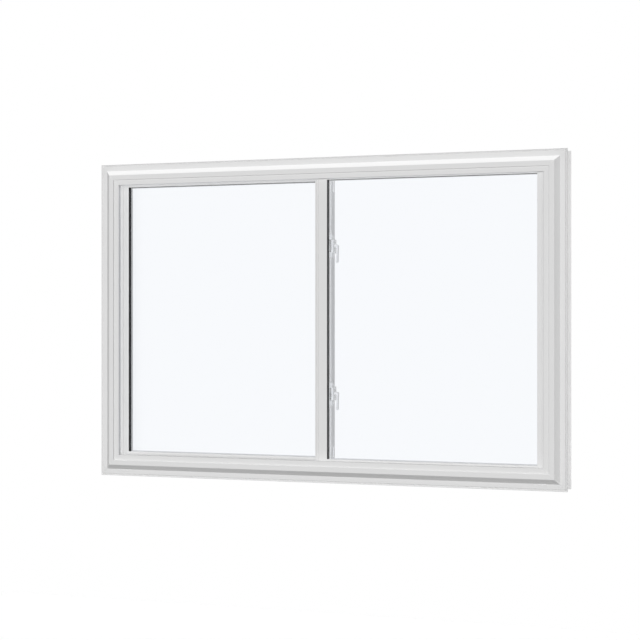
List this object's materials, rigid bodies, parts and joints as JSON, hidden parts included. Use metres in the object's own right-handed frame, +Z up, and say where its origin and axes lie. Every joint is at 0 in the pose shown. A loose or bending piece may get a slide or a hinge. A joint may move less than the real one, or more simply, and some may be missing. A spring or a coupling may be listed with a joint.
{
  "type": "horizontal sliding window",
  "caption": "White vinyl horizontal sliding window with an exterior brickmould, a wall flange and two double-glazed sashes that slide past each other, held shut by cam locks.",
  "frame": {"origin": "on the back face of the sill flange, at the middle of its strip", "axes": "+X right as seen from outdoors, +Y into the building, +Z up"},
  "size_m": [1.5, 0.1213, 1],
  "materials": {
    "white_vinyl": "satin white extruded vinyl",
    "clear_glass": "clear float glass",
    "edge_spacer": "black edge spacer",
    "roller_nylon": "natural nylon",
    "lock_enamel": "white enamelled zinc",
    "pile_seal": "grey woven pile"
  },
  "bodies": {
    "frame": {"brickmould_head": "white_vinyl", "brickmould_left": "white_vinyl", "brickmould_right": "white_vinyl", "brickmould_sill": "white_vinyl", "flange_head": "white_vinyl", "flange_left": "white_vinyl", "flange_right": "white_vinyl", "flange_sill": "white_vinyl", "frame_head": "white_vinyl", "frame_left": "white_vinyl", "frame_right": "white_vinyl", "frame_sill": "white_vinyl", "track_ribs": "white_vinyl", "weep_covers": "white_vinyl"},
    "right_sash": {"keeper_stile_pile": "pile_seal", "lower_keeper": "lock_enamel", "right_sash_beads": "white_vinyl", "right_sash_bottom_rail": "white_vinyl", "right_sash_inner_pane": "clear_glass", "right_sash_jamb_stile": "white_vinyl", "right_sash_keeper_stile": "white_vinyl", "right_sash_outer_pane": "clear_glass", "right_sash_rollers": "roller_nylon", "right_sash_spacer": "edge_spacer", "right_sash_top_rail": "white_vinyl", "upper_keeper": "lock_enamel"},
    "left_sash": {"left_sash_beads": "white_vinyl", "left_sash_bottom_rail": "white_vinyl", "left_sash_inner_pane": "clear_glass", "left_sash_jamb_stile": "white_vinyl", "left_sash_lock_stile": "white_vinyl", "left_sash_outer_pane": "clear_glass", "left_sash_pull": "white_vinyl", "left_sash_rollers": "roller_nylon", "left_sash_spacer": "edge_spacer", "left_sash_top_rail": "white_vinyl", "lock_stile_plugs": "white_vinyl", "lower_lock_housing": "lock_enamel", "upper_lock_housing": "lock_enamel"},
    "lower_lever": {"lower_lock_lever": "lock_enamel"},
    "upper_lever": {"upper_lock_lever": "lock_enamel"}
  },
  "joints": [
    {"name": "left_sash_slide", "type": "slide", "parent": "frame", "child": "left_sash", "axis": [1, 0, 0], "range_m": [0, 0.62]},
    {"name": "right_sash_slide", "type": "slide", "parent": "frame", "child": "right_sash", "axis": [-1, 0, 0], "range_m": [0, 0.62]},
    {"name": "lower_lock_turn", "type": "hinge", "parent": "left_sash", "child": "lower_lever", "pos_m": [0.0135, -0.012, 0.259], "axis": [1, 0, 0], "range_deg": [0, 180]},
    {"name": "upper_lock_turn", "type": "hinge", "parent": "left_sash", "child": "upper_lever", "pos_m": [0.0135, -0.012, 0.716], "axis": [1, 0, 0], "range_deg": [0, 180]}
  ]
}
